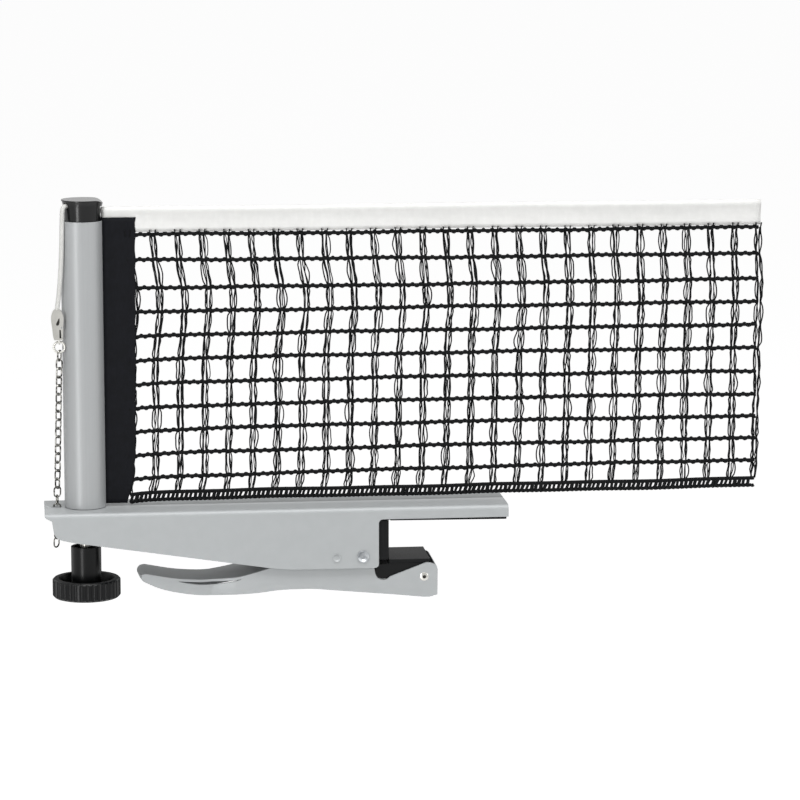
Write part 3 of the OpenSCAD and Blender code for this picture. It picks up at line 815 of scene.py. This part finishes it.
def thicken(thing, thickness):
    """Gives a sheet its thickness, inwards, with closed edges."""
    solid = thing.modifiers.new("thickness", "SOLIDIFY")
    solid.thickness = thickness * MM
    solid.offset = -1
    solid.use_even_offset = True


tape_places = [TAPE_LEFT + (TAPE_NECK - TAPE_LEFT) * k / NECK_STEPS for k in range(NECK_STEPS)]
tape_places += [TAPE_NECK, TAPE_NECK + NECK_GATHER]
tape_start = tape_places[-1]
tape_places += [
    tape_start + (NET_END - tape_start) * k / TAPE_STEPS for k in range(1, TAPE_STEPS + 1)
]
tape_bm = extruded_strip(tape_section(), tape_places, tape_wave)
for vert in tape_bm.verts:
    if vert.co.x < TAPE_NECK + NECK_GATHER / 2 and vert.co.z < NECK_Z - NECK_LOOSE:
        vert.co.z = NECK_Z - (NECK_Z - vert.co.z) * NECK_SHARE
        vert.co.y = math.copysign(GATHERED_HALF, vert.co.y)
tape = set_piece(
    "folded_tape", mesh_of(tape_bm, "tape"), TAPE_CLOTH, "post", ["top_tape"]
)
thicken(tape, TAPE_THICK)

# %% [markdown]
# ## Sleeve
# The black sleeve is a strip of cloth folded into a loop round a rod inside the slotted post
# and sewn together along its free edge. What shows is nearly flat, with a soft upright fold
# near the free edge and a turned-over strip at the top. It is made as a flat grid whose two
# halves become the front and the back, so the fold inside the post is the grid's middle line,
# and one function gives its thickness everywhere.

# %% Sleeve
SLEEVE_LEFT = -139.2
TUBE_EDGE = -136
SLEEVE_FOOT = 8.2
SLEEVE_COLUMNS, SLEEVE_ROWS = 20, 60
SLEEVE_HALF = 1.3
NECK_HALF = 1.15
EDGE_HALF = 1.12
# above this height the cloth is turned over and so much thicker
TOP_FOLD_Z, TOP_FOLD_MORE = 138.5, 0.28
# the soft upright fold: its place as a share of the width, its depth and its narrowness
CREASE, CREASE_DEPTH, CREASE_NARROW = 0.8, 0.32, 22
# shallow folds: size, radians over the width, millimetres to a radian upwards, and shift
SLEEVE_FOLDS = ((0.12, 11, 31, 0), (0.08, 23, 13, 1))
# the cloth swells to its full thickness over this length beside the tube, and at the free
# edge over this part of the width
TUBE_EASE, EDGE_EASE = 2, 1 / 12
SLEEVE_THICK = 0.35
# below this share of the width a point lies on the fold inside the post
ON_FOLD = 0.001


def sleeve_half(share, x, z):
    """Half the sleeve's thickness at a share of its width."""
    if x < TUBE_EDGE:
        return NECK_HALF
    crease = 1 - CREASE_DEPTH * math.exp(-(((share - CREASE) * CREASE_NARROW) ** 2))
    folds = sum(
        size * math.sin(share * waves + z / length + shift)
        for size, waves, length, shift in SLEEVE_FOLDS
    )
    turned = TOP_FOLD_MORE if z > TOP_FOLD_Z else 0
    free = SLEEVE_HALF * crease + folds + turned
    near_tube = min(1, (x - TUBE_EDGE) / TUBE_EASE)
    near_edge = min(1, (1 - share) / EDGE_EASE)
    return NECK_HALF + (max(free, EDGE_HALF) - NECK_HALF) * near_tube * near_edge


sleeve_bm = bmesh.new()
bmesh.ops.create_grid(
    sleeve_bm, x_segments=2 * SLEEVE_COLUMNS, y_segments=SLEEVE_ROWS, size=1
)
for vert in sleeve_bm.verts:
    side = -1 if vert.co.x < 0 else 1
    share = abs(vert.co.x)
    z = SLEEVE_FOOT + (SLEEVE_TOP - SLEEVE_FOOT) * (vert.co.y + 1) / 2
    x = SLEEVE_LEFT + (sleeve_edge(z) - SLEEVE_LEFT) * share
    half = sleeve_half(share, x, z) if share > ON_FOLD else 0
    vert.co = (x, side * half, z)
sleeve = set_piece(
    "net_sleeve_cloth",
    mesh_of(sleeve_bm, "sleeve"),
    SLEEVE_CLOTH,
    "post",
    ["net_sleeve"],
)
thicken(sleeve, SLEEVE_THICK)

# %% [markdown]
# ## Rounding the solids of the frame
# Sheet metal and mouldings never end in a perfect edge, and it is the rounded edge that
# catches the light. A copy of the solid is merged, its flat triangles are joined to whole
# faces, and its edges are bevelled. A bevel modifier on the triangles would round the seams
# between them too. A weighted normal keeps the flat faces flat.

# %% Rounded copies
FLAT = math.radians(1)
CORNER = math.radians(30)
SAME_PLACE = 0.002
ROUND_SEGMENTS = 2
ROUND_PROFILE = 0.5  # a circle's arc


def merged_copy(node):
    """A bmesh in millimetres of a node's solid, with whole faces."""
    bm = bmesh.new()
    bm.from_mesh(nodes[node].data)
    bmesh.ops.scale(bm, vec=(1 / MM, 1 / MM, 1 / MM), verts=bm.verts)
    bmesh.ops.remove_doubles(bm, verts=bm.verts, dist=SAME_PLACE)
    bmesh.ops.dissolve_limit(bm, angle_limit=FLAT, verts=bm.verts, edges=bm.edges)
    return bm


def rounded_copy(node, radius, material, body):
    """A copy of a node with its edges rounded, which stands for the node."""
    bm = merged_copy(node)
    corners = [edge for edge in bm.edges if edge.is_manifold and edge.calc_face_angle() > CORNER]
    bmesh.ops.bevel(
        bm,
        geom=corners,
        offset=radius,
        segments=ROUND_SEGMENTS,
        profile=ROUND_PROFILE,
        affect="EDGES",
        material=-1,
        clamp_overlap=True,
    )
    thing = set_piece(node + "_rounded", mesh_of(bm, node, False), material, body, [node])
    weighted = thing.modifiers.new("flat faces", "WEIGHTED_NORMAL")
    weighted.keep_sharp = True
    return thing


ROUNDED = [
    ("arm_channel", 0.25, ENAMEL, "arm", "silver_paint"),
    ("lever", 0.2, ENAMEL, "lever", "silver_paint"),
    ("stop_pad", 1.3, RUBBER, "arm", "black_rubber"),
    ("top_liner", 0.3, RUBBER, "arm", "black_rubber"),
    ("pad_carrier", 0.4, KNOB_PLASTIC, "pad", "black_plastic"),
    ("pad_grip", 0.3, RUBBER, "pad", "black_rubber"),
    ("pivot_rivet", 0.08, ZINC, "arm", "bright_steel"),
    ("stop_rivet", 0.06, ENAMEL, "arm", "silver_paint"),
    ("jaw_pin", 0.12, NICKEL, "lever", "bright_steel"),
    ("post_cap", 0.15, CAP_PLASTIC, "post", "cap_plastic"),
    ("height_knob", 0.25, KNOB_PLASTIC, "knob", "black_plastic"),
    ("height_screw", 0.3, NICKEL, "knob", "bright_steel"),
    ("knob_nut", 0.2, NICKEL, "knob", "bright_steel"),
    ("clasp_body", 0.22, NICKEL, "arm", "bright_steel"),
    ("clasp_gate", 0.12, NICKEL, "gate", "bright_steel"),
]
dressed = {}
for node, radius, material, body, slot in ROUNDED:
    thing = rounded_copy(node, radius, material, body)
    dressed[node] = thing
    print(thing.name, len(thing.data.polygons), "faces")

# %% [markdown]
# ## Painted shade inside the lever
# The inner sides of the lever's plates wear a dark grey as painted shade, which darkens the
# gap under the web. They could be painted by hand face by face, but a rule is shorter: a face
# looks inwards when its normal points back to the middle plane.

# %% Painted shade inside the lever
# in metres from the middle plane; a face nearer to nought stands across the plates
LOOKS_INWARDS = -1e-4
lever_mesh = dressed["lever"].data
# a second finish, dark grey, is painted shade on the inner faces
lever_mesh.materials.append(LEVER_INSIDE_SHADE)
shaded_faces = [face for face in lever_mesh.polygons if face.normal.y * face.center.y < LOOKS_INWARDS]
for face in shaded_faces:
    face.material_index = 1
print("faces with painted shade inside the lever:", len(shaded_faces))

# %% [markdown]
# ## Ring
# The ring between the clasp and the chain is round wire. A torus from the menu would do, but a
# small circle spun round an axis is how any bent wire of even thickness can be made.

# %% Ring
RING_PLACE = Vector((-157.4, CORD_Y, 85.7))
RING_RADIUS = 2.6
RING_WIRE = 0.55
RING_STEPS, WIRE_STEPS = 40, 12

ring_bm = bmesh.new()
ring_wire = bmesh.ops.create_circle(ring_bm, segments=WIRE_STEPS, radius=RING_WIRE)
bmesh.ops.translate(ring_bm, verts=ring_wire["verts"], vec=(RING_RADIUS, 0, 0))
bmesh.ops.spin(
    ring_bm,
    geom=ring_bm.verts[:] + ring_bm.edges[:],
    cent=(0, 0, 0),
    axis=(0, 1, 0),
    angle=2 * math.pi,
    steps=RING_STEPS,
    use_merge=True,
)
bmesh.ops.translate(ring_bm, verts=ring_bm.verts, vec=RING_PLACE)
ring = set_piece(
    "clasp_ring_round",
    mesh_of(ring_bm, "ring"),
    NICKEL,
    "arm",
    ["clasp_ring"],
    NO_SHARP_EDGE,
)
print("ring:", len(ring.data.polygons), "faces")

# %% [markdown]
# ## Chain
# Each link of the chain is a loop of round wire, long in the chain's direction and turned a
# quarter against its neighbours. The chain hangs half turned, so that every link shows. An
# array of two links would be quicker, but the turn changes along the chain, so each link is
# drawn by its number: nought lies in the arm's notch, and those above it have a minus.

# %% Chain
NOTCH = Vector((-159.7, 0, 5.9))
LINK_RADIUS = 0.4
LINK_STEPS, LINK_SIDES = 24, 8
LINK_BEND = 1.65
LINKS_ABOVE, LINKS_BELOW = 18, 4
LINK_GAP = 0.05
# degrees of the half turn, and over how many links from the notch it comes on
HALF_TURN, HALF_TURN_LINKS = 45, 4
# towards the ring each of the last links is turned by so many degrees more
RING_TURN, RING_TURN_LINKS = 8, 2
chain_start = RING_PLACE - Vector((0, 0, RING_RADIUS))
chain_way = (NOTCH - chain_start).normalized()
link_pitch = ((NOTCH - chain_start).length + RING_WIRE + LINK_GAP) / (LINKS_ABOVE + 0.5)
link_run = (link_pitch + 4 * LINK_RADIUS + LINK_GAP) / 2 - LINK_BEND - LINK_RADIUS


def link_turn(number):
    """Degrees that a link is turned: flat in the notch, then half turned, more at the ring."""
    near_ring = max(0, RING_TURN_LINKS - LINKS_ABOVE - number)
    return HALF_TURN * min(1, abs(number) / HALF_TURN_LINKS) + RING_TURN * near_ring


def link_loop(number):
    """The closed line of one link's wire."""
    upright_turn = Vector((0, 0, 1)).rotation_difference(-chain_way)
    turn = Matrix.Rotation(math.radians(90 * (number % 2) + link_turn(number)), 3, "Z")
    points = []
    for k in range(LINK_STEPS + 1):
        angle = 2 * math.pi * k / LINK_STEPS
        run = link_run if math.sin(angle) >= 0 else -link_run
        flat = Vector((LINK_BEND * math.cos(angle), 0, LINK_BEND * math.sin(angle) + run))
        points.append(NOTCH + chain_way * number * link_pitch + upright_turn @ (turn @ flat))
    # the last straight side closes the loop
    points.append(points[0])
    return points, LINK_RADIUS


links = [link_loop(number) for number in range(-LINKS_ABOVE, LINKS_BELOW + 1)]
# the chain's finish carries painted dark reflections
chain = set_piece(
    "chain_links",
    tube_mesh("chain", links, LINK_SIDES),
    CHAIN_NICKEL_PAINTED_REFLECTIONS,
    "chain",
    ["tension_chain"],
    NO_SHARP_EDGE,
)
print("chain:", len(links), "links,", len(chain.data.polygons), "faces")

# %% [markdown]
# ## Painted shade in the clasp
# Two thin sheets of nearly black steel lie inside the clasp as painted shade: one in the
# drop-shaped hole at its top and one behind the slit by its gate. A strip could be bent along a
# curve, but so small a part shows only its outline from the front. So each is an outline with a
# small thickness.

# %% Painted shade in the clasp
CLASP_FOOT = Vector((-158.1, CORD_Y, 88.3))
# outlines in x and z, measured from the clasp's foot
DROP = (
    (1.0, 11.6),
    (1.0, 9.4),
    (0.6, 8.3),
    (-0.4, 8.0),
    (-0.7, 8.8),
    (-0.05, 10.2),
    (0.55, 11.4),
)
SLIT_SHADE = ((0.6, 1.7), (1.7, 1.7), (1.7, 6.3), (0.6, 6.3))
# name, outline, and the front and back of each part, measured from the cord's plane
CLASP_SHADE_PIECES = (
    ("clasp_drop_painted_shade", DROP, -1.74, -1.3),
    ("clasp_slit_painted_shade", SLIT_SHADE, 1.0, 1.5),
)


def flat_piece(outline, front, back):
    """A bmesh of an outline between two depths."""
    bm = bmesh.new()
    corners = [bm.verts.new(CLASP_FOOT + Vector((x, front, z))) for x, z in outline]
    face = bm.faces.new(corners)
    made = bmesh.ops.extrude_face_region(bm, geom=[face])["geom"]
    moved = [item for item in made if isinstance(item, bmesh.types.BMVert)]
    bmesh.ops.translate(bm, verts=moved, vec=(0, back - front, 0))
    return bm


# each sheet is dark steel as painted shade, in the hole and behind the slit
for name, outline, front, back in CLASP_SHADE_PIECES:
    shade_piece = set_piece(name, mesh_of(flat_piece(outline, front, back), name), CLASP_SHADE_STEEL, "arm")
print("painted shade in the clasp")

# %% [markdown]
# ## Edge of the liner
# The liner between the arm and the table shows as a thin black line below the arm's lips.
# Its solid lies between them, so the rim that shows below is added here: a flat block with its
# edges stepped in, a little narrower than the arm, whose lower side slopes down towards the
# arm's free end, as soft rubber does where nothing presses it. A cube and a bevel are enough
# for a line this thin.

# %% Edge of the liner
LINER_EDGE_LOW = Vector((0.5, -18.3, 0.02))
LINER_EDGE_HIGH = Vector((57.4, 18.3, 0.66))
LINER_EDGE_STEP = 0.2
# how much lower the rim stands at the arm's free end
LINER_EDGE_DROP = 0.45

edge_bm = bmesh.new()
bmesh.ops.create_cube(edge_bm, size=1)
bmesh.ops.scale(edge_bm, verts=edge_bm.verts, vec=LINER_EDGE_HIGH - LINER_EDGE_LOW)
bmesh.ops.translate(edge_bm, verts=edge_bm.verts, vec=(LINER_EDGE_LOW + LINER_EDGE_HIGH) / 2)
for vert in edge_bm.verts:
    if vert.co.x > LINER_EDGE_LOW.x and vert.co.z < LINER_EDGE_HIGH.z:
        vert.co.z -= LINER_EDGE_DROP
bmesh.ops.bevel(
    edge_bm,
    geom=edge_bm.edges[:],
    offset=LINER_EDGE_STEP,
    segments=ROUND_SEGMENTS,
    affect="EDGES",
)
set_piece("liner_edge", mesh_of(edge_bm, "liner_edge"), RUBBER, "arm", ())
print("the liner's rim shows below the arm's lips")

# %% [markdown]
# ## Finishes of the remaining solids
# The rest is hidden, or smooth and round already. A rounded copy would gain nothing, so these
# pieces keep their solid from the frame, and the finish goes straight onto its mesh.

# %% Finishes
PLAIN = {
    "post_tube": ALUMINIUM,
    "post_plug": ZINC,
    "pivot_spacer": ZINC,
    "torsion_spring": ZINC,
    "screw_bush": BRASS,
    "screw_clip": ZINC,
    "net_rod": KNOB_PLASTIC,
    "gate_pin": ZINC,
}
for node, material in PLAIN.items():
    nodes[node].data.materials.clear()
    nodes[node].data.materials.append(material)
print("plain finishes:", len(PLAIN))

# %% [markdown]
# ## Floor
# The clamp sits at the height of a table, so the floor lies far below it. A floor that only
# reflects is grey behind a bright object, and one that only shines has no shadow. So this one
# reflects and adds some white of its own where it is seen, and a soft shadow stays on it.

# %% Floor
FLOOR_Z = -760
FLOOR_HALF = 40000
FLOOR_COLOUR = "#ededed"
FLOOR_OWN_LIGHT = 0.72


def seen_directly(tree):
    """1 for rays from the camera, from a mirror or through glass, else 0."""
    path = add_node(tree, "ShaderNodeLightPath")
    first = add_node(
        tree,
        "ShaderNodeMath",
        {0: path.outputs["Is Camera Ray"], 1: path.outputs["Is Glossy Ray"]},
        operation="ADD",
    )
    return add_node(
        tree,
        "ShaderNodeMath",
        {0: first.outputs[0], 1: path.outputs["Is Transmission Ray"]},
        operation="ADD",
        use_clamp=True,
    ).outputs[0]


def floor_material():
    """Pale floor that adds some white of its own where it is seen."""
    material = bpy.data.materials.new("pale floor")
    material.use_nodes = True
    tree = material.node_tree
    tree.nodes.remove(tree.nodes["Principled BSDF"])
    matt = add_node(tree, "ShaderNodeBsdfDiffuse", {"Color": linear(FLOOR_COLOUR)})
    glow = add_node(tree, "ShaderNodeEmission", {"Strength": FLOOR_OWN_LIGHT})
    shown = add_node(
        tree, "ShaderNodeMixShader", {0: seen_directly(tree), 2: glow.outputs[0]}
    )
    both = add_node(tree, "ShaderNodeAddShader", {0: matt.outputs[0], 1: shown.outputs[0]})
    tree.links.new(both.outputs[0], tree.nodes["Material Output"].inputs["Surface"])
    return material


floor_bm = bmesh.new()
bmesh.ops.create_grid(floor_bm, x_segments=1, y_segments=1, size=FLOOR_HALF)
bmesh.ops.translate(floor_bm, verts=floor_bm.verts, vec=(0, 0, FLOOR_Z))
floor = set_piece("floor", mesh_of(floor_bm, "floor", False), floor_material(), None)
print("floor at", FLOOR_Z, "mm")

# %% [markdown]
# ## Light
# A tall soft box stands on the left, a wide one on the right and a long one hangs above, as a
# photographer of small goods sets them. The left one draws one clear upright highlight on
# round parts, the high one lights the top faces, and the right one and a pale sky keep the
# shade open. Where the sky is seen, straight or in a mirror, it is white.

# %% Sky and soft boxes
# how bright the sky is for what it lights
SKY_LIGHT = 0.3
# name, place, what it faces, width and height, all in metres, and its power in watts
SOFT_BOXES = (
    ("tall left soft box", (-1.07, -1.43, 0.1), (-0.1, 0, 0.05), 0.26, 1.7, 14),
    ("wide right soft box", (1.6, -0.75, 0.7), (0, 0, 0.05), 1.4, 1.6, 10.5),
    ("high soft box", (0, -0.85, 1.9), (0, 0, 0.05), 2.2, 0.7, 38),
)


def soft_box(name, place, target, width, height, watts):
    """An area light at a place, turned to face a target."""
    data = bpy.data.lights.new(name, "AREA")
    data.shape = "RECTANGLE"
    data.size, data.size_y = width, height
    data.energy = watts
    lamp = bpy.data.objects.new(name, data)
    lamp.location = place
    lamp.rotation_euler = (Vector(target) - Vector(place)).to_track_quat("-Z", "Y").to_euler()
    scene.collection.objects.link(lamp)


world = bpy.data.worlds.new("studio")
world.use_nodes = True
scene.world = world
background = world.node_tree.nodes["Background"]
background.inputs["Color"].default_value = linear("#ffffff")
sky = add_node(
    world.node_tree,
    "ShaderNodeMapRange",
    {0: seen_directly(world.node_tree), 1: 0.0, 2: 1.0, 3: SKY_LIGHT, 4: 1.0},
)
world.node_tree.links.new(sky.outputs[0], background.inputs["Strength"])

for settings in SOFT_BOXES:
    soft_box(*settings)
